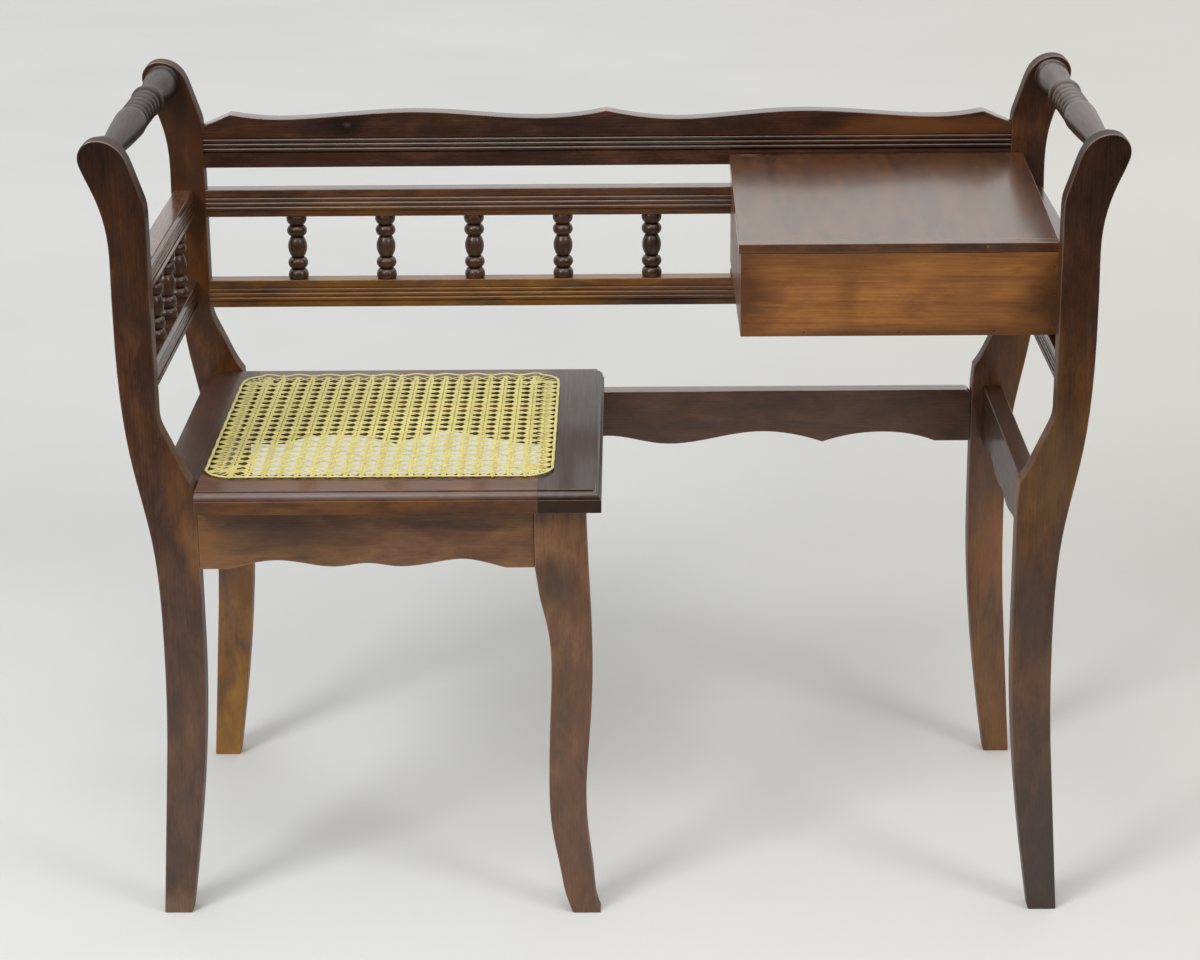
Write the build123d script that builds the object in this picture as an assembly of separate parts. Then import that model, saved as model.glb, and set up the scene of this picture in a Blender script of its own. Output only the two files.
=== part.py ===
from build123d import *
from math import cos, radians
import os

# Telephone bench: a caned seat on the left and a lidded book box on the right, framed by four sawn
# S-shaped end boards. X runs to the right, Y runs to the back, Z is up, all in millimetres.
# The origin is on the floor, under the middle of the whole bench.

os.makedirs("parts", exist_ok=True)

# ---- driving dimensions: end boards ----
bench_height = 790.0
board_thickness = 22.0  # of the end boards and the seat leg
inside_depth = 374.0  # between the front and the back end boards
leg_gap = 788.0  # between the inner edges of the end boards below the seat
back_gap = 855.0  # between their inner edges above the seat
nick_step = 2.0  # how far the pointed nick stands back from the leg's inner edge
foot_width = 28.0
foot_splay = 26.0  # how far a foot turns out from the leg above it
leg_straight_height = 290.0  # below it the end boards sweep out to the foot
leg_width = 39.5
waist_width = 36.5
waist_height = 640.0
head_reach = 60.5  # from the inner edge of the back to the outermost point of the scroll
head_straight = 78.0  # from the top of the bench down to where the inner edge turns straight

# ---- seat ----
seat_height = 452.0
seat_thickness = 21.5
seat_left = 432.0  # from the middle of the bench to the seat's left edge
seat_right = 4.5  # from the middle of the bench to the seat's right edge, which is also left of it
nosing = 20.0  # seat overhang in front of the end boards
end_nosing = 15.0  # seat overhang past its own leg
front_rail_width = 58.0
back_rail_width = 40.0
left_stile_width = 55.0
right_stile_width = 61.0
moulding_width = 7.5
moulding_height = 8.5
moulding_quirk = 1.5
moulding_fillet = 1.2
cane_border = 15.0  # how far the cane laps onto the frame
cane_thickness = 2.0
cane_corner = 27.0
cane_openings = 12  # across and along: a plain grid that stands for the fine open weave
cane_opening_size = 14.0
binder_width = 5.0
binder_thickness = 1.4
seat_leg_proud = 4.0
seat_leg_width = 50.0
seat_leg_foot = 28.0
seat_leg_toe = 11.0  # how far the foot turns out past the leg's straight edge

# ---- aprons and stretchers ----
rail_thickness = 20.0
apron_depth = 62.5
seat_rail_setback = 12.5
inner_apron_setback = 3.0
stretcher_corner = 8.0
stretcher_drop = 4.5  # from the seat's underside down to the stretcher's top edge
stretcher_end_flat = 39.0
stretcher_cusp_inset = 161.0
stretcher_inner_arch = 73.0  # from the cusp to the top of the arch beside it
stretcher_lobe_reach = 56.0  # from the middle to the low lobe beside it
batten_size = 20.0

# ---- back and side rails ----
lower_rail_rise = 71.5  # from the seat top up to the lower rails
rail_height = 29.5
spindle_height = 70.0
crest_gap = 24.0
crest_end_height = 44.5
crest_peak_height = 57.5
crest_lobe_height = 59.3
crest_dip_height = 52.2
crest_peak_inset = 30.0
crest_inner_dip = 57.0  # from the middle out to the first dip
crest_lobe_reach = 200.0
crest_outer_dip = 55.0  # from the shoulder's point in to the last dip
crest_right_droop = 1.5  # the right half is sawn this much lower
side_rail_setback = 13.0  # from the inner edge of the end boards to the side rails
rail_round = 1.0
reed_pitch = 5.0
reed_radius = 2.3
reed_depth = 1.6
reed_count = 3
reed_from_top = 15.8
crest_reed_from_bottom = 23.8

# ---- turned pieces ----
back_spindle_count = 8
side_spindle_count = 4
side_spindle_pitch = 81.5
bead_radius = 10.7
barrel_radius = 10.2
spindle_neck = 7.0
spindle_inset = 0.3  # the fattest bead stands back this much from the rails' inner faces
spindle_end_bead = 11.2
spindle_inner_bead = 12.4
tenon_radius = 4.0
tenon_length = 8.0
handle_drop = 21.0  # from the top of the heads down to the handle's middle
handle_inset = 39.5  # from the inner edge of the back to the handle's middle
handle_flange = 18.0
handle_front_flange = 20.5
handle_flange_length = 7.0
handle_vase_length = 88.0
handle_bead_length = 18.0
handle_ring_pitch = 17.6
handle_ring_count = 5
handle_end_flange = 12.0
handle_tenon_radius = 6.0
handle_tenon_length = 12.0

# ---- box ----
box_width = 309.0
box_depth = 298.0
box_lift = 18.0  # from the lower rails' top up to the box's underside
box_wall = 10.0
box_bottom_thickness = 8.0
lid_thickness = 10.0
lid_slope = 5.0
lid_side_overhang = 2.0
lid_end_clearance = 1.5
lid_front_overhang = 1.0
lid_rest_gap = 0.3
lipping_width = 12.0
lipping_round = 1.5

# ---- lid hinges ----
hinge_width = 38.0
hinge_inset = 35.0
hinge_rise = 8.0  # hinge pin above the crest board's lower edge
leaf_thickness = 1.2
leaf_length = 22.0
knuckle_radius = 2.5
hinge_pin_radius = 1.2
hinge_running_clearance = 0.05
hinge_gap = 0.4

# ---- fastenings ----
dowel_radius = 4.0
dowel_length = 30.0
dowel_spacing = 14.0
peg_clearance = 0.05
screw_radius = 1.8
screw_head_radius = 3.6
screw_head_height = 1.8
box_screw_length = 24.0
hinge_screw_length = 8.0
hinge_screw_radius = 1.1
hinge_screw_head_radius = 2.2
hinge_screw_head_height = 0.8
seat_screw_length = 34.0
pin_radius = 0.9
pin_length = 24.0

# ---- places worked out from them ----
front_face = -(nosing + 2 * board_thickness + inside_depth) / 2 + nosing
front_back = front_face + board_thickness
rear_face = front_back + inside_depth
middle_y = (front_back + rear_face) / 2
leg_inner = leg_gap / 2
back_inner = back_gap / 2
apron_top = seat_height - seat_thickness
apron_bottom = apron_top - apron_depth
lower_rail_bottom = seat_height + lower_rail_rise
lower_rail_top = lower_rail_bottom + rail_height
upper_rail_bottom = lower_rail_top + spindle_height
upper_rail_top = upper_rail_bottom + rail_height
crest_bottom = upper_rail_top + crest_gap
hinge_height = crest_bottom + hinge_rise
box_bottom_height = lower_rail_top + box_lift
handle_height = bench_height - handle_drop
side_rail_inner = back_inner + side_rail_setback
side_rail_middle = side_rail_inner + rail_thickness / 2
handle_x = back_inner + handle_inset
spindle_setback = bead_radius + spindle_inset - rail_thickness / 2

parts = {}


def front_board(outline, y, thickness):
    """A board sawn to an outline in X and Z, with its front face at y."""
    return extrude(Plane.XZ.offset(-y) * make_face(outline), -thickness)


def side_board(outline, x, thickness):
    """A board sawn to an outline in Y and Z, with its face nearest -X at x."""
    return extrude(Plane.YZ.offset(x) * make_face(outline), thickness)


def block(x0, x1, y0, y1, z0, z1):
    return Pos((x0 + x1) / 2, (y0 + y1) / 2, (z0 + z1) / 2) * Box(x1 - x0, y1 - y0, z1 - z0)


def rod(centre, axis, radius, length):
    turn = {"X": Rot(0, 90, 0), "Y": Rot(90, 0, 0), "Z": Rot(0, 0, 0)}[axis]
    return Pos(*centre) * turn * Cylinder(radius, length)


def screw(place, direction, length, radius, head_radius, head_height):
    """Wood screw: place is where its head meets what it holds, direction is where it points."""
    shank = Pos(0, 0, length / 2) * Cylinder(radius, length)
    head = Pos(0, 0, -head_height / 2) * Cylinder(head_radius, head_height)
    turn = {"+X": Rot(0, 90, 0), "+Y": Rot(-90, 0, 0), "-Y": Rot(90, 0, 0), "+Z": Rot(0, 0, 0)}[direction]
    return Pos(*place) * turn * (shank + head)


def mirrored(piece):
    return mirror(piece, about=Plane.YZ)


# ---- end boards ----
def end_board_outline():
    """Outline of the right end board: sabre leg, nick at the seat, hollow, waist and scrolled head."""
    foot_inner = leg_inner + foot_splay
    waist_outer = back_inner + waist_width
    head_x = back_inner + handle_inset
    head_out = back_inner + head_reach
    top = bench_height
    nick = (leg_inner + nick_step, seat_height)
    hollow_top = (back_inner, lower_rail_bottom)
    head_foot = (back_inner, top - head_straight)
    leg_foot = (leg_inner, leg_straight_height)
    return [
        Line((foot_inner, 0), (foot_inner + foot_width, 0)),
        Spline(
            (foot_inner + foot_width, 0),
            (leg_inner + leg_width + 8, leg_straight_height * 0.34),
            (leg_inner + leg_width + 1.7, leg_straight_height * 0.69),
            (leg_inner + leg_width, leg_straight_height + 10),
            (leg_inner + leg_width + 6.3, seat_height - 52),
            (waist_outer - 9, seat_height + 28),
            (waist_outer - 1.5, waist_height - 85),
            (waist_outer, waist_height),
            tangents=((-0.06, 1), (0, 1)),
        ),
        Spline(
            (waist_outer, waist_height),
            (waist_outer + 1.8, top - 85),
            (head_out - 13, top - 52),
            (head_out - 3, top - 29),
            (head_out, top - 16),
            (head_out - 6.5, top - 3.5),
            (head_x, top),
            (head_x - 17, top - 8),
            (back_inner + 10.5, top - 32),
            (back_inner + 2.5, top - 56),
            head_foot,
            tangents=((0, 1), (0, -1)),
        ),
        Line(head_foot, hollow_top),
        Spline(
            hollow_top,
            (back_inner - 6.5, seat_height + 49),
            (back_inner - 17, seat_height + 26),
            nick,
            tangents=((0, -1), (-0.62, -0.78)),
        ),
        Line(nick, (leg_inner, apron_top)),
        Line((leg_inner, apron_top), leg_foot),
        Spline(
            leg_foot,
            (leg_inner + 3, leg_straight_height * 0.69),
            (leg_inner + 12.5, leg_straight_height * 0.34),
            (foot_inner, 0),
            tangents=((0, -1), (0.15, -1)),
        ),
    ]


right_board = front_board(end_board_outline(), 0, board_thickness)
left_board = mirrored(right_board)
for end, y in (("front", front_face), ("back", rear_face)):
    parts[f"{end}_right_upright"] = Pos(0, y, 0) * right_board
    parts[f"{end}_left_upright"] = Pos(0, y, 0) * left_board


# ---- reeded rails ----
def reeds(board, axis, length, centre, face, outward):
    """Cuts three parallel beads along a rail: a shallow sunk band with three half-round reeds in it."""
    band = reed_pitch * reed_count + reed_pitch * 0.2
    x, y, z = centre
    size = (length, 2 * reed_depth, band) if axis == "X" else (2 * reed_depth, length, band)
    spot = (x, face, z) if axis == "X" else (face, y, z)
    board -= Pos(*spot) * Box(*size)
    for number in range(reed_count):
        rise = (number - (reed_count - 1) / 2) * reed_pitch
        depth = face - outward * reed_radius
        at = (x, depth, z + rise) if axis == "X" else (depth, y, z + rise)
        board += rod(at, axis, reed_radius, length)
    return board


def back_rail(bottom):
    rail = block(-back_inner, back_inner, rear_face, rear_face + rail_thickness, bottom, bottom + rail_height)
    rail = fillet(rail.edges().filter_by(Axis.X), rail_round)
    return reeds(rail, "X", back_gap, (0, 0, bottom + rail_height - reed_from_top), rear_face, -1)


def side_rail(bottom):
    inner, outer = side_rail_inner, side_rail_inner + rail_thickness
    rail = block(inner, outer, front_back, rear_face, bottom, bottom + rail_height)
    rail = fillet(rail.edges().filter_by(Axis.Y), rail_round)
    centre = (0, middle_y, bottom + rail_height - reed_from_top)
    rail = reeds(rail, "Y", inside_depth, centre, inner, -1)
    return reeds(rail, "Y", inside_depth, centre, outer, 1)


def crest_board():
    """Serpentine crest: a pointed middle, two long lobes, and a pointed shoulder near each end."""
    peak_x = back_inner - crest_peak_inset
    base = crest_bottom

    def half(side):
        level = base - crest_right_droop if side > 0 else base
        return [
            Spline(
                (0, base + crest_lobe_height),
                (side * crest_inner_dip, level + crest_dip_height),
                (side * crest_lobe_reach, level + crest_lobe_height),
                (side * (peak_x - crest_outer_dip), level + crest_dip_height),
                (side * peak_x, level + crest_peak_height),
                tangents=((side * 1, -0.22), (side * 1, 0.18)),
            ),
            Line((side * peak_x, level + crest_peak_height), (side * back_inner, level + crest_end_height)),
            Line((side * back_inner, level + crest_end_height), (side * back_inner, base)),
        ]

    foot = Line((back_inner, base), (-back_inner, base))
    board = front_board(half(1) + [foot] + half(-1), rear_face, rail_thickness)
    return reeds(board, "X", back_gap, (0, 0, base + crest_reed_from_bottom), rear_face, -1)


parts["back_lower_rail"] = back_rail(lower_rail_bottom)
parts["back_upper_rail"] = back_rail(upper_rail_bottom)
parts["crest_rail"] = crest_board()
parts["right_lower_rail"] = side_rail(lower_rail_bottom)
parts["right_arm_rail"] = side_rail(upper_rail_bottom)
parts["left_lower_rail"] = mirrored(parts["right_lower_rail"])
parts["left_arm_rail"] = mirrored(parts["right_arm_rail"])


# ---- turned spindles ----
def bead(low, high, radius_low, crest, radius_high):
    return ThreePointArc((radius_low, low), (crest, (low + high) / 2), (radius_high, high))


def spindle():
    """Two beads, a barrel and two beads, with a round tenon at each end."""
    top = spindle_height
    shoulder = bead_radius - 0.9
    outer_bead, inner_bead = spindle_end_bead, spindle_inner_bead
    low_neck = outer_bead + inner_bead
    high_neck = top - low_neck
    outline = [
        Line((0, -tenon_length), (tenon_radius, -tenon_length)),
        Line((tenon_radius, -tenon_length), (tenon_radius, 0)),
        Line((tenon_radius, 0), (shoulder, 0)),
        bead(0, outer_bead, shoulder, bead_radius, spindle_neck),
        bead(outer_bead, low_neck, spindle_neck, bead_radius, spindle_neck - 0.5),
        bead(low_neck, high_neck, spindle_neck - 0.5, barrel_radius, spindle_neck - 0.5),
        bead(high_neck, high_neck + inner_bead, spindle_neck - 0.5, bead_radius, spindle_neck),
        bead(high_neck + inner_bead, top, spindle_neck, bead_radius, shoulder),
        Line((shoulder, top), (tenon_radius, top)),
        Line((tenon_radius, top), (tenon_radius, top + tenon_length)),
        Line((tenon_radius, top + tenon_length), (0, top + tenon_length)),
        Line((0, top + tenon_length), (0, -tenon_length)),
    ]
    return revolve(Plane.XZ * make_face(outline), Axis.Z)


def spindle_row(places, lower, upper):
    """Stands spindles between two rails and bores the rails for their tenons."""
    turned = spindle()
    row = []
    for x, y in places:
        row.append(Pos(x, y, lower_rail_top) * turned)
        length = tenon_length + peg_clearance
        hole_radius = tenon_radius + peg_clearance
        low_hole = rod((x, y, lower_rail_top - length / 2), "Z", hole_radius, length)
        high_hole = rod((x, y, upper_rail_bottom + length / 2), "Z", hole_radius, length)
        parts[lower] -= low_hole
        parts[upper] -= high_hole
    return Compound(children=row)


back_pitch = back_gap / (back_spindle_count + 1)
back_rail_middle = rear_face + rail_thickness / 2
back_spindle_y = back_rail_middle + spindle_setback
back_places = [(-back_inner + back_pitch * (n + 1), back_spindle_y) for n in range(back_spindle_count)]
parts["back_spindles"] = spindle_row(back_places, "back_lower_rail", "back_upper_rail")
side_spindle_x = side_rail_middle + spindle_setback
for side, x in (("left", -side_spindle_x), ("right", side_spindle_x)):
    first_y = middle_y - side_spindle_pitch * (side_spindle_count - 1) / 2
    side_places = [(x, first_y + side_spindle_pitch * n) for n in range(side_spindle_count)]
    parts[f"{side}_side_spindles"] = spindle_row(side_places, f"{side}_lower_rail", f"{side}_arm_rail")


# ---- turned handles ----
def handle():
    """Grip between the heads, along Z from its back end: flange, vase, bead, rings, bulb, neck, flange."""
    length = inside_depth
    flange, front_flange = handle_flange, handle_front_flange
    tenon, tenon_end = handle_tenon_radius, handle_tenon_length
    quirk = flange - 3.4
    vase_start = handle_flange_length + 2
    vase_end = handle_flange_length + handle_vase_length
    rings_start = vase_end + handle_bead_length
    rings_end = rings_start + handle_ring_pitch * handle_ring_count
    ring_crest, ring_root = flange - 2.9, flange - 7.1
    slim = flange - 7.4
    flange_start = length - handle_end_flange
    flange_quirk = length - handle_end_flange * 0.55

    def ring(number):
        low = rings_start + handle_ring_pitch * number
        return bead(low, low + handle_ring_pitch, ring_root, ring_crest, ring_root)

    outline = [
        Line((0, -tenon_end), (tenon, -tenon_end)),
        Line((tenon, -tenon_end), (tenon, 0)),
        Line((tenon, 0), (flange - 1, 0)),
        bead(0, handle_flange_length, flange - 1, flange, quirk),
        Line((quirk, handle_flange_length), (quirk, vase_start)),
        Line((quirk, vase_start), (quirk + 1.6, vase_start)),
        Spline(
            (quirk + 1.6, vase_start),
            (quirk + 1.8, vase_start + 12),
            (quirk + 0.6, vase_start + 31),
            (quirk - 2.2, vase_start + 54),
            (slim + 1.0, vase_end),
            tangents=((0.12, 1), (0.02, 1)),
        ),
        bead(vase_end, rings_start, slim + 1.0, flange - 1.2, ring_root),
        *[ring(number) for number in range(handle_ring_count)],
        Line((ring_root, rings_end), (ring_crest - 1, rings_end)),
        Spline(
            (ring_crest - 1, rings_end),
            (flange - 2.4, rings_end + 24),
            (flange - 3.4, rings_end + 52),
            (slim + 2.2, rings_end + 88),
            (slim, rings_end + 128),
            (slim + 0.5, flange_start),
            tangents=((0.35, 1), (0.1, 1)),
        ),
        Line((slim + 0.5, flange_start), (front_flange - 3, flange_start)),
        bead(flange_start, flange_quirk, front_flange - 3, front_flange - 1, front_flange - 2.6),
        bead(flange_quirk, length, front_flange - 2.6, front_flange, front_flange - 1),
        Line((front_flange - 1, length), (tenon, length)),
        Line((tenon, length), (tenon, length + tenon_end)),
        Line((tenon, length + tenon_end), (0, length + tenon_end)),
        Line((0, length + tenon_end), (0, -tenon_end)),
    ]
    return Rot(90, 0, 0) * revolve(Plane.XZ * make_face(outline), Axis.Z)


grip = handle()
for side, x in (("left", -handle_x), ("right", handle_x)):
    parts[f"{side}_handle"] = Pos(x, rear_face, handle_height) * grip
    socket_depth = handle_tenon_length + peg_clearance
    socket_radius = handle_tenon_radius + peg_clearance
    back_socket = rod((x, rear_face + socket_depth / 2, handle_height), "Y", socket_radius, socket_depth)
    front_socket = rod((x, front_back - socket_depth / 2, handle_height), "Y", socket_radius, socket_depth)
    parts[f"back_{side}_upright"] -= back_socket
    parts[f"front_{side}_upright"] -= front_socket


# ---- scalloped boards under the seat line ----
def scalloped(low, high, mid, rises):
    """Board outline with a scalloped lower edge; rises are (reach from mid, height) out to the flat end."""
    reach = [(0, rises[0][1])] + list(rises[1:])
    points = [(mid - d, apron_bottom + h) for d, h in reversed(reach[1:])]
    points += [(mid + d, apron_bottom + h) for d, h in reach]
    return [
        Line((low, apron_top), (low, apron_bottom)),
        Line((low, apron_bottom), points[0]),
        Spline(*points, tangents=((1, 0.3), (1, -0.3))),
        Line(points[-1], (high, apron_bottom)),
        Line((high, apron_bottom), (high, apron_top)),
        Line((high, apron_top), (low, apron_top)),
    ]


seat_leg_right = -seat_right - end_nosing
seat_leg_left = seat_leg_right - seat_leg_width
apron_span = (-leg_inner, seat_leg_left)
apron_middle = sum(apron_span) / 2
end_flat = 28.0  # straight stretch at each end of a scalloped edge


def wave(span):
    """Two arches with a low ripple between them, in proportion to the board's own span."""
    reach = (span[1] - span[0]) / 2 - end_flat
    return [(0, 5.4), (reach * 0.21, 2.1), (reach * 0.61, 8.6), (reach, 0)]


parts["front_apron"] = front_board(
    scalloped(*apron_span, apron_middle, wave(apron_span)), front_face, rail_thickness
)
side_span = (front_back, rear_face)
right_seat_rail = side_board(
    scalloped(*side_span, middle_y, wave(side_span)), leg_inner + seat_rail_setback, rail_thickness
)
parts["right_seat_rail"] = right_seat_rail
parts["left_seat_rail"] = mirrored(right_seat_rail)
seat_leg_front = front_face - seat_leg_proud
seat_leg_back = seat_leg_front + board_thickness
inner_span = (seat_leg_back, rear_face)
inner_apron_x = seat_leg_right - inner_apron_setback - rail_thickness
parts["seat_inner_apron"] = side_board(
    scalloped(*inner_span, sum(inner_span) / 2, wave(inner_span)), inner_apron_x, rail_thickness
)


def stretcher_outline():
    """Back stretcher: on each side of the middle two arches that meet in a point, and a flat end."""
    flat_start = leg_inner - stretcher_end_flat
    cusp = leg_inner - stretcher_cusp_inset
    arch = cusp - stretcher_inner_arch
    base = apron_bottom
    top = apron_top - stretcher_drop

    def outer_arch(side):
        return Spline(
            (side * flat_start, base),
            (side * (flat_start + cusp) / 2, base + 10.5),
            (side * cusp, base - 0.5),
            tangents=((-side, 0.42), (-side, -0.35)),
        )

    middle = Spline(
        (cusp, base - 0.5),
        (arch, base + 11.5),
        (stretcher_lobe_reach, base - 1.5),
        (0, base + 7.5),
        (-stretcher_lobe_reach, base - 1.5),
        (-arch, base + 11.5),
        (-cusp, base - 0.5),
        tangents=((-1, 0.35), (-1, -0.35)),
    )
    return [
        Line((leg_inner, top), (leg_inner, base)),
        Line((leg_inner, base), (flat_start, base)),
        outer_arch(1),
        middle,
        outer_arch(-1),
        Line((-flat_start, base), (-leg_inner, base)),
        Line((-leg_inner, base), (-leg_inner, top)),
        Line((-leg_inner, top), (leg_inner, top)),
    ]


stretcher = front_board(stretcher_outline(), rear_face, rail_thickness)
top_corners = stretcher.edges().filter_by(Axis.Y).group_by(Axis.Z)[-1]
parts["back_stretcher"] = fillet(top_corners, stretcher_corner)


# ---- seat leg ----
def seat_leg_outline():
    """Flat S leg: straight behind the apron, then in to the calf, back to the ankle and out to the foot."""
    right, left = seat_leg_right, seat_leg_left
    toe = right + seat_leg_toe
    heel = toe - seat_leg_foot
    knee = apron_bottom
    # each point is how far it lies from the leg's straight edge and its share of the height up to the apron
    left_curve = [(4.3, 0.92), (11, 0.84), (14.7, 0.71), (12.6, 0.56), (11, 0.41), (13.5, 0.245), (21, 0.13)]
    right_curve = [(4, 0.11), (-1, 0.23), (-2.7, 0.34), (0, 0.475), (4.6, 0.68), (3, 0.92)]
    return [
        Line((right, apron_top), (left, apron_top)),
        Line((left, apron_top), (left, knee)),
        Spline(
            (left, knee),
            *[(left + reach, knee * share) for reach, share in left_curve],
            (heel, 0),
            tangents=((0.2, -1), (0.42, -1)),
        ),
        Line((heel, 0), (toe, 0)),
        Spline(
            (toe, 0),
            *[(right + reach, knee * share) for reach, share in right_curve],
            (right, apron_top),
            tangents=((-0.55, 1), (-0.02, 1)),
        ),
    ]


parts["seat_front_leg"] = front_board(seat_leg_outline(), seat_leg_front, board_thickness)

# ---- seat frame ----
seat_x0, seat_x1 = -seat_left, -seat_right
seat_y0, seat_y1 = front_face - nosing, rear_face
open_x0, open_x1 = seat_x0 + left_stile_width, seat_x1 - right_stile_width
open_y0, open_y1 = seat_y0 + front_rail_width, seat_y1 - back_rail_width


def moulding_section(corner):
    """Waste outside the ovolo, in (distance in from the edge, height): corner is the top outer corner."""
    x, z = corner
    top, foot = z - moulding_quirk, z - moulding_height
    reach = moulding_width - moulding_fillet
    middle = (x + moulding_width - reach * 0.71, foot + (top - foot) * 0.71)
    return [
        Line((x - 2, z + 2), (x + moulding_width, z + 2)),
        Line((x + moulding_width, z + 2), (x + moulding_width, top)),
        ThreePointArc((x + moulding_width, top), middle, (x + moulding_fillet, foot)),
        Line((x + moulding_fillet, foot), (x - 2, foot)),
        Line((x - 2, foot), (x - 2, z + 2)),
    ]


front_waste = side_board(moulding_section((seat_y0, seat_height)), seat_x0, seat_left)
end_section = [mirror(edge, about=Plane.YZ) for edge in moulding_section((-seat_x1, seat_height))]
end_waste = front_board(end_section, seat_y0 - 2, seat_y1 - seat_y0 + 4)

front_rail = block(-leg_inner, open_x1, seat_y0, open_y0, apron_top, seat_height)
left_stile = block(seat_x0, open_x0, front_back, seat_y1, apron_top, seat_height) - front_rail
right_stile = block(open_x1, seat_x1, seat_y0, seat_y1, apron_top, seat_height)
parts["seat_front_rail"] = front_rail - front_waste
parts["seat_left_stile"] = left_stile
parts["seat_right_stile"] = right_stile - front_waste - end_waste
parts["seat_back_rail"] = block(open_x0, open_x1, open_y1, seat_y1, apron_top, seat_height)

# ---- cane panel and its binder ----
cane_size = (open_x1 - open_x0 + 2 * cane_border, open_y1 - open_y0 + 2 * cane_border)
cane_middle = Pos((open_x0 + open_x1) / 2, (open_y0 + open_y1) / 2, 0)
panel = RectangleRounded(*cane_size, cane_corner)
inside = RectangleRounded(
    cane_size[0] - 2 * binder_width, cane_size[1] - 2 * binder_width, cane_corner - binder_width
)
cane_grid = GridLocations(
    (open_x1 - open_x0) / cane_openings, (open_y1 - open_y0) / cane_openings, cane_openings, cane_openings
)
open_panel = panel - [place * Rectangle(cane_opening_size, cane_opening_size) for place in cane_grid]
parts["seat_cane"] = cane_middle * Pos(0, 0, seat_height) * extrude(open_panel, cane_thickness)
binder_height = seat_height + cane_thickness
parts["cane_binder"] = cane_middle * Pos(0, 0, binder_height) * extrude(panel - inside, binder_thickness)

# ---- battens that tie the seat to the aprons ----
batten_x0, batten_x1 = -leg_inner, inner_apron_x
front_batten_y = front_face + rail_thickness
parts["seat_front_batten"] = block(
    batten_x0, seat_leg_left, front_batten_y, front_batten_y + batten_size, apron_top - batten_size, apron_top
)
parts["seat_back_batten"] = block(
    batten_x0, batten_x1, rear_face - batten_size, rear_face, apron_top - batten_size, apron_top
)

# ---- telephone book box ----
box_x1 = side_rail_inner
box_x0 = box_x1 - box_width
box_y1 = rear_face
box_y0 = box_y1 - box_depth
inside_x0, inside_x1 = box_x0 + box_wall, box_x1 - box_wall
inside_y0, inside_y1 = box_y0 + box_wall, box_y1 - box_wall
hinge_y = box_y1 - box_wall - leaf_thickness + knuckle_radius
hinge_place = Pos(0, hinge_y, hinge_height)
lid_turn = hinge_place * Rot(lid_slope, 0, 0)
half_lid = lid_thickness / 2
lid_length = (hinge_y - box_y0 + lid_front_overhang) / cos(radians(lid_slope))
lid_x0 = box_x0 - lid_side_overhang
lid_x1 = box_x1 - lid_end_clearance

box_height = hinge_height - box_bottom_height
above_walls = lid_turn * block(
    box_x0 - 5, box_x1 + 5, -box_depth - 10, 20, -half_lid - lid_rest_gap, box_height
)
walls = {
    "box_front": block(box_x0, box_x1, box_y0, inside_y0, box_bottom_height, hinge_height),
    "box_left_side": block(box_x0, inside_x0, inside_y0, box_y1, box_bottom_height, hinge_height),
    "box_right_side": block(inside_x1, box_x1, inside_y0, box_y1, box_bottom_height, hinge_height),
    "box_back": block(inside_x0, inside_x1, inside_y1, box_y1, box_bottom_height, hinge_height),
}
for name, wall in walls.items():
    parts[name] = wall - above_walls
inside_floor = box_bottom_height + box_bottom_thickness
parts["box_bottom"] = block(inside_x0, inside_x1, inside_y0, inside_y1, box_bottom_height, inside_floor)

# ---- lid, drawn lying flat with the hinge pin at the origin ----
lid = block(lid_x0, lid_x1, -lid_length + lipping_width, 0, -half_lid, half_lid)
lid += rod(((lid_x0 + lid_x1) / 2, 0, 0), "X", half_lid, lid_x1 - lid_x0)
lipping = block(lid_x0, lid_x1, -lid_length, -lid_length + lipping_width, -half_lid, half_lid)
lipping_edges = lipping.edges().filter_by(Axis.X).group_by(Axis.Y)[0]
lipping = fillet(lipping_edges, lipping_round)

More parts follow.
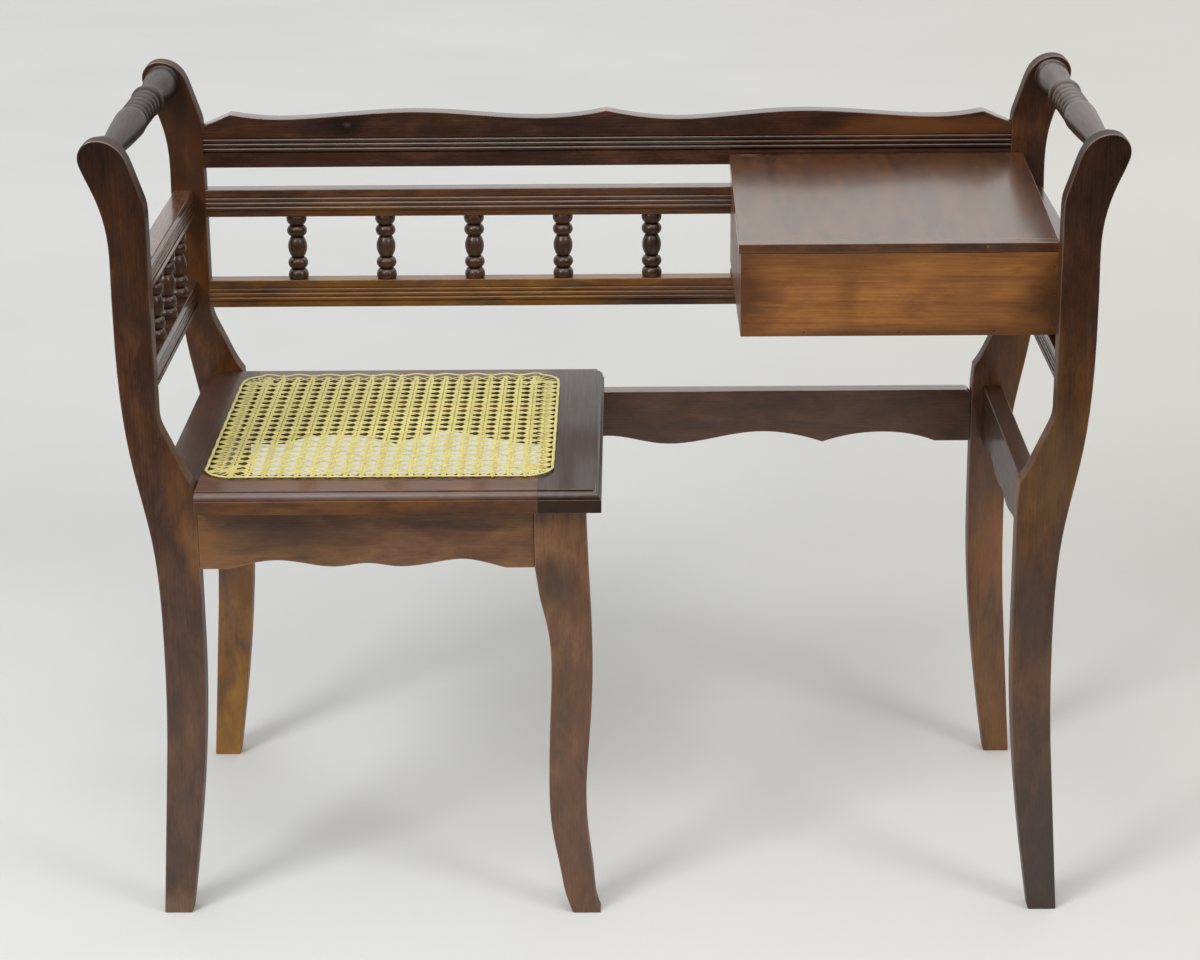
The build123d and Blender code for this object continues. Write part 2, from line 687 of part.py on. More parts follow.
# ---- hinges ----
third = hinge_width / 3
box_leaves, lid_leaves, hinge_pins, hinge_screws_box, hinge_screws_lid = [], [], [], [], []
leaf_y = -knuckle_radius
pin_bore = hinge_pin_radius + hinge_running_clearance
hinge_screw = (hinge_screw_length, hinge_screw_radius, hinge_screw_head_radius, hinge_screw_head_height)
for hinge_x in (lid_x0 + hinge_inset + hinge_width / 2, lid_x1 - hinge_inset - hinge_width / 2):
    x0, x1 = hinge_x - hinge_width / 2, hinge_x + hinge_width / 2
    inner0, inner1 = x0 + third + hinge_gap, x1 - third - hinge_gap
    clear = knuckle_radius + hinge_gap
    lid_clear = clear + hinge_gap
    # the leaf on the box hangs straight down from the middle knuckle
    leaf = block(x0, x1, leaf_y, leaf_y + leaf_thickness, -leaf_length, -clear)
    leaf += block(inner0, inner1, leaf_y, leaf_y + leaf_thickness, -clear, 0)
    leaf += rod((hinge_x, 0, 0), "X", knuckle_radius, inner1 - inner0)
    leaf -= rod((hinge_x, 0, 0), "X", pin_bore, hinge_width)
    # the leaf on the lid lies in its underside and turns up to the two outer knuckles
    crank = -lid_clear - leaf_thickness
    plate = block(x0, x1, -leaf_length, -lid_clear, -half_lid, -half_lid + leaf_thickness)
    for k0, k1 in ((x0, x0 + third), (x1 - third, x1)):
        plate += block(k0, k1, crank, -lid_clear, -half_lid, leaf_thickness)
        plate += block(k0, k1, crank, 0, -leaf_thickness, leaf_thickness)
        plate += rod(((k0 + k1) / 2, 0, 0), "X", knuckle_radius, k1 - k0)
    plate -= rod((hinge_x, 0, 0), "X", pin_bore, hinge_width)
    screw_y, screw_z = -leaf_length * 0.62, -leaf_length * 0.62
    for screw_x in (x0 + third * 0.6, x1 - third * 0.6):
        hinge_screws_lid.append(screw((screw_x, screw_y, -half_lid), "+Z", *hinge_screw))
        hinge_screws_box.append(screw((screw_x, leaf_y, screw_z), "+Y", *hinge_screw))
    notch = block(x0 - hinge_gap, x1 + hinge_gap, crank, half_lid + 1, -half_lid - 1, clear)
    seat = block(x0, x1, -leaf_length, 0, -half_lid - 1, -half_lid + leaf_thickness)
    lid = lid - notch - seat
    box_leaves.append(leaf)
    lid_leaves.append(plate)
    hinge_pins.append(rod((hinge_x, 0, 0), "X", hinge_pin_radius, hinge_width))
for fixing in hinge_screws_lid:
    lid -= fixing
    lid_leaves = [leaf - fixing for leaf in lid_leaves]
box_leaves = [hinge_place * leaf for leaf in box_leaves]
hinge_screws_box = [hinge_place * fixing for fixing in hinge_screws_box]
for fixing in hinge_screws_box:
    parts["box_back"] -= fixing
    box_leaves = [leaf - fixing for leaf in box_leaves]
parts["box_lid"] = lid_turn * lid
parts["lid_lipping"] = lid_turn * lipping
parts["lid_hinge_box_leaves"] = Compound(children=box_leaves)
parts["lid_hinge_lid_leaves"] = Compound(children=[lid_turn * leaf for leaf in lid_leaves])
parts["lid_hinge_pins"] = Compound(children=[lid_turn * pin for pin in hinge_pins])
parts["hinge_screws_box"] = Compound(children=hinge_screws_box)
parts["hinge_screws_lid"] = Compound(children=[lid_turn * fixing for fixing in hinge_screws_lid])


# ---- fastenings that cross a joint ----
def fasten(group, pieces, solids):
    """Adds fasteners as one group and bores every piece that they pass through."""
    for name in pieces:
        for solid in solids:
            parts[name] -= solid
    parts[group] = Compound(children=solids)


def dowels(places, axis):
    return [rod(place, axis, dowel_radius, dowel_length) for place in places]


half_rail = rail_thickness / 2
pair = (-dowel_spacing / 2, dowel_spacing / 2)
lower_level = lower_rail_bottom + rail_height / 2
upper_level = upper_rail_bottom + rail_height / 2
crest_level = crest_bottom + rail_height / 2
apron_levels = (apron_bottom + apron_depth * 0.3, apron_bottom + apron_depth * 0.75)
sides = (("left", -1), ("right", 1))

back_joints = [
    (side * back_inner, back_rail_middle, level + rise)
    for side in (-1, 1)
    for level in (lower_level, upper_level, crest_level)
    for rise in pair
]
fasten(
    "back_rail_dowels",
    ("back_left_upright", "back_right_upright", "back_lower_rail", "back_upper_rail", "crest_rail"),
    dowels(back_joints, "X"),
)
side_joints = [
    (side * side_rail_middle, y, level + rise)
    for side in (-1, 1)
    for y in (front_back, rear_face)
    for level in (lower_level, upper_level)
    for rise in pair
]
fasten(
    "side_rail_dowels",
    [f"{end}_{name}_upright" for end in ("front", "back") for name, side in sides]
    + [f"{name}_{rail}_rail" for name, side in sides for rail in ("lower", "arm")],
    dowels(side_joints, "Y"),
)
cross_joints = [(side * leg_inner, back_rail_middle, level) for side in (-1, 1) for level in apron_levels]
cross_joints += [(x, front_face + half_rail, level) for x in apron_span for level in apron_levels]
seat_rail_middle = leg_inner + seat_rail_setback + half_rail
deep_joints = [
    (side * seat_rail_middle, y, level)
    for side in (-1, 1)
    for y in (front_back, rear_face)
    for level in apron_levels
]
deep_joints += [(inner_apron_x + half_rail, y, level) for y in inner_span for level in apron_levels]
fasten(
    "apron_dowels",
    [f"{end}_{name}_upright" for end in ("front", "back") for name, side in sides]
    + ["back_stretcher", "front_apron", "seat_front_leg", "seat_inner_apron"]
    + ["left_seat_rail", "right_seat_rail"],
    dowels(cross_joints, "X") + dowels(deep_joints, "Y"),
)
frame_level = seat_height - seat_thickness / 2
front_rail_third = front_rail_width / 3
frame_joints = [
    (open_x1, seat_y0 + front_rail_third, frame_level),
    (open_x1, open_y0 - front_rail_third, frame_level),
    (-leg_inner, (front_back + open_y0) / 2, frame_level),
]
frame_joints += [
    (x, open_y1 + back_rail_width * share, frame_level) for x in (open_x0, open_x1) for share in (0.3, 0.7)
]
fasten(
    "seat_frame_dowels",
    ("seat_front_rail", "seat_back_rail", "seat_left_stile", "seat_right_stile"),
    dowels(frame_joints, "X"),
)

# ---- screws up through the battens into the seat, and sideways into the aprons ----
batten_bottom = apron_top - batten_size
seat_screw = (seat_screw_length, screw_radius, screw_head_radius, screw_head_height)
seat_screw_places = [open_x0 + (open_x1 - open_x0) * share for share in (0.12, 0.47, 0.82)]
seat_screws = []
for x in seat_screw_places:
    for y in (front_batten_y + batten_size / 2, rear_face - batten_size / 2):
        seat_screws.append(screw((x, y, batten_bottom), "+Z", *seat_screw))
    batten_level = apron_top - batten_size / 2
    beside = x + batten_size
    front_head_y = front_batten_y + batten_size
    seat_screws.append(screw((beside, front_head_y, batten_level), "-Y", *seat_screw))
    seat_screws.append(screw((beside, rear_face - batten_size, batten_level), "+Y", *seat_screw))
fasten(
    "seat_screws",
    ("seat_front_batten", "seat_back_batten", "front_apron")
    + ("back_stretcher", "seat_front_rail", "seat_back_rail"),
    seat_screws,
)

# ---- screws from inside the box into the rails round it ----
box_screw = (box_screw_length, screw_radius, screw_head_radius, screw_head_height)
box_screws = []
for share in (0.2, 0.8):
    box_screws.append(screw((box_x0 + box_width * share, inside_y1, upper_level), "+Y", *box_screw))
    box_screws.append(screw((inside_x1, box_y0 + box_depth * share, upper_level), "+X", *box_screw))
fasten("box_screws", ("box_back", "box_right_side", "back_upper_rail", "right_arm_rail"), box_screws)


# ---- pins of the nailed box and of the lid's lipping ----
def pin(place, axis, towards):
    """Fine panel pin driven in flush from place, towards +1 or -1 along the axis."""
    x, y, z = place
    half = towards * pin_length / 2
    centre = (x + half, y, z) if axis == "X" else (x, y + half, z)
    return rod(centre, axis, pin_radius, pin_length)


half_wall = box_wall / 2
bottom_level = box_bottom_height + box_bottom_thickness / 2
wall_levels = [box_bottom_height + box_height * share for share in (0.12, 0.36, 0.6)]
end_grain = (box_x0 + half_wall, box_x1 - half_wall)
box_pins = [pin((x, box_y0, z), "Y", 1) for x in end_grain for z in wall_levels]
box_pins += [pin((box_x0 + box_width * share, box_y0, bottom_level), "Y", 1) for share in (0.2, 0.5, 0.8)]
for x, towards in ((box_x0, 1), (box_x1, -1)):
    box_pins += [pin((x, box_y1 - half_wall, z), "X", towards) for z in wall_levels[::2]]
    box_pins += [pin((x, box_y0 + box_depth * share, bottom_level), "X", towards) for share in (0.25, 0.75)]
fasten("box_pins", tuple(walls) + ("box_bottom",), box_pins)

lid_middle = (lid_x0 + lid_x1) / 2
lipping_reach = (lid_x1 - lid_x0) / 2 - hinge_inset
lipping_pins = [pin((lid_middle + side * lipping_reach, -lid_length, 0), "Y", 1) for side in (-1, 0, 1)]
fasten("lipping_pins", ("box_lid", "lid_lipping"), [lid_turn * nail for nail in lipping_pins])

for name, piece in parts.items():
    piece.label = name
    export_step(piece, f"parts/{name}.step")
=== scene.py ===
import random
from math import atan2, cos, hypot, pi, radians, sin

import bmesh
import bpy
from mathutils import Matrix, Vector


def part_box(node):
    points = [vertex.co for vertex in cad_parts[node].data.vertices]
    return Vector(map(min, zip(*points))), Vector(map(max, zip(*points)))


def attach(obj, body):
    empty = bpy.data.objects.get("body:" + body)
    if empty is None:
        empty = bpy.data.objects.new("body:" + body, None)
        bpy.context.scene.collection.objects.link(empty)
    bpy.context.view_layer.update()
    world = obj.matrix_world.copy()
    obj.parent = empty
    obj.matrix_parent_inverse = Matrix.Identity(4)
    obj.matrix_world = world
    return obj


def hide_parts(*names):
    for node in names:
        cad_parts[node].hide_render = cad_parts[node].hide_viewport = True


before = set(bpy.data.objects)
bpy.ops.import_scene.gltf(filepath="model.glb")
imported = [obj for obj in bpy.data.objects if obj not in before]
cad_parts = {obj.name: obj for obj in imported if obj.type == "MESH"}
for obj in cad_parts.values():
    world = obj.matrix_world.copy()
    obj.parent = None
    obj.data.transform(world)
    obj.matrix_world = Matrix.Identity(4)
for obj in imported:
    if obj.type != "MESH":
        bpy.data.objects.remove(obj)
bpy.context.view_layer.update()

# Telephone bench: dark stained hardwood with a caned seat, turned spindles and handles, and a lidded box.
# X runs to the right, Y to the back and Z up, in metres. MM turns the bench maker's millimetres into metres.
MM = 0.001
luck = random.Random(11)


# ---- materials ----
def srgb(hex_code):
    """An sRGB hex colour as linear red, green, blue, alpha."""
    channels = [int(hex_code[i:i + 2], 16) / 255 for i in (1, 3, 5)]
    linear = [c / 12.92 if c <= 0.04045 else ((c + 0.055) / 1.055) ** 2.4 for c in channels]
    return (*linear, 1.0)


def pick(sockets, word):
    """The socket with this number, name (with _ for a space) or identifier."""
    if isinstance(word, int):
        return sockets[word]
    return next(socket for socket in sockets if word in (socket.name.replace(" ", "_"), socket.identifier))


def add(tree, kind, *inputs, out=0, stops=(), **more):
    """Adds one shader node and gives back one of its outputs.

    Inputs go on its sockets in order, each a value or a socket to link. Of the rest, a capitalised word is
    a socket too, and a small one is a property of the node. Stops are a ramp's (position, hex colour).
    """
    node = tree.nodes.new("ShaderNode" + kind)
    by_name = []
    for word, value in more.items():
        if word[0].islower():
            setattr(node, word, value)
        else:
            by_name.append((word, value))
    for _ in stops[2:]:
        node.color_ramp.elements.new(0.5)
    for number, (position, colour) in enumerate(stops):
        node.color_ramp.elements[number].position = position
        node.color_ramp.elements[number].color = srgb(colour)
    for word, value in [*enumerate(inputs), *by_name]:
        socket = pick(node.inputs, word)
        if isinstance(value, bpy.types.NodeSocket):
            tree.links.new(value, socket)
        else:
            socket.default_value = value
    return pick(node.outputs, out) if node.outputs else node


def new_material(name):
    """A new material and its node tree, still empty."""
    material = bpy.data.materials.new(name)
    material.use_nodes = True
    material.node_tree.nodes.clear()
    return material, material.node_tree


def finish_surface(tree, **shader):
    """Ends a material: what its shader takes, plain values and patterns alike, and the way out."""
    add(tree, "OutputMaterial", add(tree, "BsdfPrincipled", **shader))


def along_grain(tree, grain, long_mm, wide_mm, detail, distortion=0.0):
    """A pattern drawn out along the grain: one cell is about long_mm long and wide_mm wide."""
    cell = add(tree, "Mapping", grain, Scale=(1 / long_mm, 1 / wide_mm, 1 / wide_mm))
    return add(tree, "TexNoise", cell, Scale=1.0, Detail=detail, Roughness=0.55, Distortion=distortion)


def about(tree, pattern, weight, base):
    """Adds weight times how far a pattern stands from its middle of 0.5."""
    raised = add(tree, "Math", pattern, weight, base, operation="MULTIPLY_ADD")
    return add(tree, "Math", raised, weight / 2, operation="SUBTRACT")


RAGGED = 1.2  # how far the pools of stain bend a mark's outline, as a share of its reach
SOLID = 0.25  # the share of a mark's reach that it fills whole


def mark(tree, place, pools, centre, reach):
    """1 at a point of the bench, falling raggedly to 0 at reach millimetres along X, Y and Z."""
    scale = [1 / (r * MM) for r in reach]
    shift = [-c * MM * by for c, by in zip(centre, scale)]
    near = add(tree, "Mapping", place, Location=shift, Scale=scale)
    away = add(tree, "VectorMath", near, operation="LENGTH", out="Value")
    return add(tree, "MapRange", about(tree, pools, RAGGED, away), SOLID, 1.0, 1.0, 0.0)


# What stain and polish show on sawn and sanded wood, each a pattern along the grain: the length and width of
# one cell in mm, its detail and how far it is bent.
WOOD_PATTERNS = {
    "figure": (300, 14, 3.0, 0.8),  # faint bands of early and late wood
    "fibre": (60, 1.7, 2.0, 0.0),  # fibre lines, drawn coarse so that they show
    "pores": (9, 0.9, 1.0, 0.0),  # short dark pores, drawn coarse so that they show
    "cloud": (150, 60, 3.0, 0.2),  # broad clouds in the stain
    "blotch": (44, 19, 6.0, 0.6),  # mottling where the wood drank the stain unevenly
    "pool": (70, 24, 5.0, 0.8),  # cool dark pools of stain
    "speckle": (7, 2.0, 3.0, 0.0),  # speckles, drawn coarse so that they show
    "patch": (120, 34, 4.0, 0.6),  # thin places where the amber ground comes through
}
# Where a pattern starts to show and where it shows in full.
SHOWING = {"patch": (0.40, 0.60), "cloud": (0.42, 0.62), "pool": (0.52, 0.68), "pores": (0.60, 0.74)}
HOLLOW, RUBBED_AND_HIGHLIT = (-0.9, -0.1), (0.35, 1.0)  # from a full hollow to none, and from none of the wear and painted highlight on an arris to all of it
VARNISH_IOR, VARNISH_ROUGHNESS = 1.5, 0.14
SHINE = 0.42  # specular level of polished wood under its varnish


def stained_wood(
    name, colours, amber, settled_dirt_and_shade, pooled, arris_wear_and_highlight,
    gloss=0.26, coat=0.5, lines=1.0, mottle=1.0, speckles=1.0, open_grain=1.0, marks=(),
):
    """Sawn and sanded wood under stain and a rubbed varnish.

    colours and amber are the ramps of the stain and of its thin places, from dark to light. settled is the
    dark in pores, and in hollows dirt and painted shade both; pooled is the stain's pools; and worn is the
    colour on arrises, rubbed back by hands and painted as a highlight too. gloss is the roughness where the
    wood is polished, and coat is the varnish. lines, mottle, speckles and open_grain say how much shows of
    the grain's lines, the uneven stain, the speckles and the open pores.
    Each mark, such as a knot or a nail hole, is (centre, reach, strength, colour).
    """
    material, tree = new_material(name)
    grain = add(tree, "Attribute", attribute_name="grain", out="Vector")
    tone, thin, relief, dull = (
        add(tree, "Attribute", attribute_name=word, out="Fac")
        for word in ("tone", "amber", "relief", "dull")
    )
    pattern = {word: along_grain(tree, grain, *size) for word, size in WOOD_PATTERNS.items()}

    # the stain's shade, from the tone of the piece
    shade = tone
    for word, weight in (
        ("figure", 0.11 * lines), ("fibre", 0.09 * lines), ("cloud", 0.20 * mottle),
        ("blotch", 0.38 * mottle), ("speckle", 0.15 * speckles),
    ):
        shade = about(tree, pattern[word], weight, shade)

    # what lies over the stain, each (how much, colour), from the lowest up
    thin_place = add(tree, "MapRange", pattern["patch"], *SHOWING["patch"], 0.1, 1.0)
    glow = add(tree, "ValToRGB", shade, stops=amber)
    rubbed_and_highlit_place = add(tree, "MapRange", pattern["cloud"], *SHOWING["cloud"], 0.1, 1.0)
    arris = add(tree, "MapRange", relief, *RUBBED_AND_HIGHLIT, 0.0, 0.5)
    layers = [
        (add(tree, "Math", thin, thin_place, operation="MULTIPLY"), glow),
        (add(tree, "MapRange", pattern["pool"], *SHOWING["pool"], 0.0, 0.5 * mottle), srgb(pooled)),
        (add(tree, "MapRange", pattern["pores"], *SHOWING["pores"], 0.0, 0.22 * open_grain), srgb(settled_dirt_and_shade)),
        # dirt and painted shade in hollows
        (add(tree, "MapRange", relief, *HOLLOW, 0.9, 0.0), srgb(settled_dirt_and_shade)),
        # wear and a painted highlight on rounded arrises
        (add(tree, "Math", arris, rubbed_and_highlit_place, operation="MULTIPLY"), srgb(arris_wear_and_highlight)),
    ]
    place = add(tree, "TexCoord", out="Object")
    for centre, reach, strength, tint in marks:
        spot = mark(tree, place, pattern["pool"], centre, reach)
        layers.append((add(tree, "Math", spot, strength, operation="MULTIPLY"), srgb(tint)))
    colour = add(tree, "ValToRGB", shade, stops=colours)
    for amount, tint in layers:
        colour = add(
            tree, "Mix", amount, data_type="RGBA", A_Color=colour, B_Color=tint, out="Result_Color"
        )

    # polish, which is less on dull faces and in hollows, and rougher along the fibres
    on_dull = add(tree, "MapRange", dull, 0.0, 1.0, 1.0, 0.25)
    in_hollow = add(tree, "MapRange", relief, *HOLLOW, 0.1, 1.0)
    polish = add(tree, "Math", on_dull, in_hollow, operation="MULTIPLY")
    smoothest, roughest = gloss - 0.04 * open_grain, gloss + 0.08 * open_grain
    fibre_rough = add(tree, "MapRange", pattern["fibre"], 0.3, 0.7, smoothest, roughest)
    dull_rough = add(tree, "MapRange", dull, 0.0, 1.0, 0.0, 0.3)
    pits = add(tree, "MapRange", pattern["pores"], *SHOWING["pores"], 0.0, 0.8)
    height = add(tree, "Math", pattern["fibre"], pits, operation="SUBTRACT")
    finish_surface(
        tree,
        Base_Color=colour,
        IOR=VARNISH_IOR,
        Specular_IOR_Level=add(tree, "Math", polish, SHINE, operation="MULTIPLY"),
        Roughness=add(tree, "Math", fibre_rough, dull_rough, operation="ADD"),
        Coat_Weight=add(tree, "Math", polish, coat, operation="MULTIPLY"),
        Coat_Roughness=VARNISH_ROUGHNESS,
        Coat_IOR=VARNISH_IOR,
        Normal=add(tree, "Bump", Strength=0.15 * max(open_grain, 0.2), Distance=0.15 * MM, Height=height),
    )
    return material


def dowel_rod():
    """Beech dowel rod, machined smooth: pinkish tan with short darker flecks and a dry, dull surface."""
    material, tree = new_material("beech_dowel_rod")
    place = add(tree, "TexCoord", out="Object")
    fleck = add(tree, "TexNoise", place, Scale=1 / (2.0 * MM), Detail=3.0)
    finish_surface(
        tree,
        Base_Color=add(tree, "ValToRGB", fleck, stops=((0.35, "#9a7448"), (0.65, "#c59d6d"))),
        IOR=1.5,
        Roughness=0.6,
        Normal=add(tree, "Bump", Strength=0.2, Distance=0.1 * MM, Height=fleck),
    )
    return material


def split_cane():
    """Split rattan cane, shaved from the glossy bark: straw yellow, faintly streaked, softly shining."""
    material, tree = new_material("split_rattan_cane")
    grain = add(tree, "Attribute", attribute_name="grain", out="Vector")
    tone = add(tree, "Attribute", attribute_name="tone", out="Fac")
    streak = along_grain(tree, grain, 30, 0.9, 2.0)
    mottle = along_grain(tree, grain, 26, 9, 2.0)
    streaks = add(tree, "Math", streak, 0.45, operation="MULTIPLY")
    mottling = add(tree, "Math", mottle, 0.4, operation="MULTIPLY")
    both = add(tree, "Math", streaks, mottling, operation="ADD")
    shade = add(tree, "Math", both, tone, operation="ADD")
    straw = ((0.25, "#b3a358"), (0.45, "#d9ce7c"), (0.66, "#e8df94"))
    finish_surface(
        tree,
        Base_Color=add(tree, "ValToRGB", shade, stops=straw),
        IOR=1.5,
        Specular_IOR_Level=0.5,
        Roughness=add(tree, "MapRange", streak, 0.3, 0.7, 0.34, 0.5),
        Normal=add(tree, "Bump", Strength=0.3, Distance=0.1 * MM, Height=streak),
    )
    return material


def dulled_metal(name, bright, dull, roughness):
    """Small turned or stamped ironmongery gone dull: bright high spots, a stained ground, fine scratches."""
    scratch_mm, stain_mm = 0.4, 3.2  # the scratches are drawn coarse so that they show
    material, tree = new_material(name)
    place = add(tree, "TexCoord", out="Object")
    stain = add(tree, "TexNoise", place, Scale=1 / (stain_mm * MM), Detail=4.0)
    scratch = add(tree, "TexNoise", place, Scale=1 / (scratch_mm * MM), Detail=2.0)
    finish_surface(
        tree,
        Base_Color=add(tree, "ValToRGB", stain, stops=((0.38, dull), (0.62, bright))),
        Metallic=1.0,
        Roughness=add(tree, "MapRange", scratch, 0.3, 0.7, roughness - 0.1, roughness + 0.15),
        Normal=add(tree, "Bump", Strength=0.25, Distance=0.05 * MM, Height=scratch),
    )
    return material


WALNUT_MARKS = (
    # crest: thin stain at both ends, dark wood round a knot, the knot, a dark patch
    ((-405, 197, 712), (80, 9, 24), 0.2, "#55300e"),
    ((330, 197, 716), (150, 9, 16), 0.7, "#6b3f1c"),
    ((-290, 197, 720), (50, 9, 15), 0.6, "#190c06"),
    ((-274, 197, 721), (22, 9, 13), 0.9, "#120805"),
    ((-274, 197, 722), (6, 9, 4), 0.8, "#4a352c"),
    ((228, 197, 720), (34, 9, 12), 0.7, "#1c0f08"),
    # lower rail: darker on its lower half near the box
    ((70, 197, 528), (90, 9, 12), 0.8, "#241813"),
    # seat frame: nail hole in the stile, and a painted grey highlight along the nosing
    ((-14, -13, 452), (2, 4, 2), 1.0, "#0c0704"),
    ((-230, -219, 450), (300, 9, 6), 0.85, "#565257"),
    # lid lipping: brad
    ((370, -102, 660), (1.6, 4, 1.6), 1.0, "#94603c"),
    # corner leg: dark patch at its top and streak down its left side
    ((-50, -203, 352), (26, 6, 34), 0.7, "#2b1f19"),
    ((-42, -203, 232), (12, 6, 60), 0.5, "#33251d"),
    # apron: thin stain at its left end, dark cloud beside it
    ((-385, -199, 395), (34, 6, 40), 0.75, "#7b5226"),
    ((-310, -199, 408), (90, 6, 26), 0.6, "#2b1d16"),
    # right end board: olive thin places and dark spots between
    ((425, -199, 470), (60, 6, 80), 0.45, "#584225"),
    ((450, -199, 70), (60, 6, 130), 0.5, "#2a221c"),
    ((455, -199, 380), (34, 6, 60), 0.5, "#2a2420"),
    ((405, -199, 330), (22, 6, 60), 0.5, "#2a2420"),
    ((440, -199, 250), (26, 6, 50), 0.45, "#5c4224"),
    # back right leg: reddish thin place
    ((440, 197, 230), (34, 6, 90), 0.75, "#7f4c2a"),
    # left end board: scuffed foot
    ((-440, -199, 4), (40, 8, 26), 0.5, "#7c5b3d"),
)
CHESTNUT_MARKS = (
    # box front: darker at both ends, along its top and bottom, and at a smudge on its left half
    ((129, -101, 612), (44, 4, 70), 0.85, "#472811"),
    ((443, -101, 600), (48, 4, 70), 0.85, "#432812"),
    ((220, -101, 646), (120, 4, 24), 0.5, "#55310f"),
    ((236, -101, 612), (14, 4, 34), 0.4, "#4c2a10"),
    ((286, -101, 570), (220, 4, 14), 0.8, "#4a2a10"),
)
LID_MARKS = (
    # worn patch at the lid's back left corner
    ((150, 188, 689), (16, 12, 6), 0.8, "#7d5746"),
)
WALNUT_STAIN = {
    "colours": ((0.15, "#140c08"), (0.40, "#321c12"), (0.65, "#5c3b27"), (0.90, "#83603f")),
    "amber": ((0.15, "#180c04"), (0.40, "#44240b"), (0.65, "#6f4613"), (0.90, "#976b2a")),
    # the dark in pores, and in hollows dirt and painted shade
    "settled_dirt_and_shade": "#0d0705",
    # the arrises' colour: wear, and a painted highlight
    "arris_wear_and_highlight": "#8a6f5c",
}
# Hardwood boards and turnings, stained dark walnut and varnished: brown to near black, mottled where the saw
# left them rough, cool in the pools and amber where the stain is thin, with a fairly glossy, worn skin.
WALNUT = stained_wood(
    "walnut_stained_hardwood", pooled="#2c211c", lines=0.75, marks=WALNUT_MARKS, **WALNUT_STAIN
)
# The lid, a panel with its pores filled, under the same stain: streaks from front to back and an even shine.
LID = stained_wood(
    "walnut_stained_lid_panel",
    pooled="#35231a",
    lines=3.2,
    mottle=0.7,
    speckles=0.0,
    open_grain=0.15,
    marks=LID_MARKS,
    **WALNUT_STAIN,
)
# The box, planed softer wood under a chestnut stain and little varnish: golden brown with a clear grain.
CHESTNUT = stained_wood(
    "chestnut_stained_panel",
    colours=((0.20, "#452410"), (0.45, "#784621"), (0.65, "#94602c"), (0.85, "#b07c42")),
    amber=((0.20, "#452410"), (0.45, "#7e4d1e"), (0.65, "#9d6a29"), (0.85, "#b98142")),
    settled_dirt_and_shade="#3c1d0c",
    pooled="#5a3415",
    arris_wear_and_highlight="#5e3719",
    gloss=0.36,
    coat=0.3,
    lines=3.6,
    mottle=0.8,
    speckles=0.3,
    marks=CHESTNUT_MARKS,
)
# Sawn softwood left bare where it doesn't show: pale tan, dry and dull, with a mild grain.
BARE_WOOD = ((0.20, "#6d4d31"), (0.45, "#8c6844"), (0.65, "#a58157"), (0.85, "#b9986d"))
SOFTWOOD = stained_wood(
    "unstained_softwood",
    colours=BARE_WOOD,
    amber=BARE_WOOD,
    settled_dirt_and_shade="#5b3d25",
    pooled="#7c5c3c",
    arris_wear_and_highlight="#b99a6d",
    gloss=0.62,
    coat=0.0,
    lines=2.2,
    mottle=0.4,
    speckles=0.4,
)
BEECH = dowel_rod()
CANE = split_cane()
# Stamped brass hinges gone brown, blackened steel screws, and the rusted heads of steel pins.
BRASS = dulled_metal("tarnished_brass", "#b89552", "#6e5526", 0.36)
STEEL = dulled_metal("blackened_steel", "#5d5751", "#2a2521", 0.48)
RUST = dulled_metal("rust_stained_pin_heads", "#8a5a35", "#5e3b22", 0.8)


# ---- turning the frame's solids into finished pieces ----
# For grain along each axis, which coordinates run along, across and through the board.
BOARD_AXES = {"x": (0, 2, 1), "y": (1, 0, 2), "z": (2, 0, 1)}
# Angles between faces: under FLAT they are one face, over ARRIS they meet at an arris to be sanded, and over
# the crease angles they meet in a crisp line.
FLAT, ARRIS, BOARD_CREASE, TURNED_CREASE = radians(0.5), radians(50), radians(38), radians(32)
DEEP_HOLLOW = radians(55)  # a hollow that turns this far holds the most polish, and is painted darkest with dirt and shade
ROUNDED = (radians(22), radians(40))  # how far the sharpest edge at a point of a rounded arris turns
RUB_AND_HIGHLIGHT_STARTS, RUB_AND_HIGHLIGHT_SPAN = radians(38), radians(18)  # a point that turns further than this is rubbed back, and gets a painted highlight
TREE_MM, TILT = 4000, 0.012  # where in a tree a board may come from, and how far its grain may tilt


def relief_at(vert, hollows):
    """1 on a rounded arris and -1 in a sharp hollow, where hollows count; 0 where the surface is plain."""
    angles = [edge.calc_face_angle_signed(0.0) for edge in vert.link_edges]
    turn = sum(angles)
    if turn < 0:
        return max(-1.0, turn / DEEP_HOLLOW) * hollows
    if not ROUNDED[0] < max(angles, default=0) < ROUNDED[1]:
        return 0.0
    return min(1.0, max(0.0, turn - RUB_AND_HIGHLIGHT_STARTS) / RUB_AND_HIGHLIGHT_SPAN)


def tone_and_painted_light_at(height, tones):
    """The tone at a height, from those at the foot, the seat and the head: the stain, and painted light too,
    the legs lighter from the bright floor and the heads darker. It darkens late.
    """
    foot, seat, head = tones
    seat_line, head_line = 0.45, 0.79
    if height < seat_line:
        return foot + (seat - foot) * height / seat_line
    return seat + (head - seat) * ((height - seat_line) / (head_line - seat_line)) ** 2


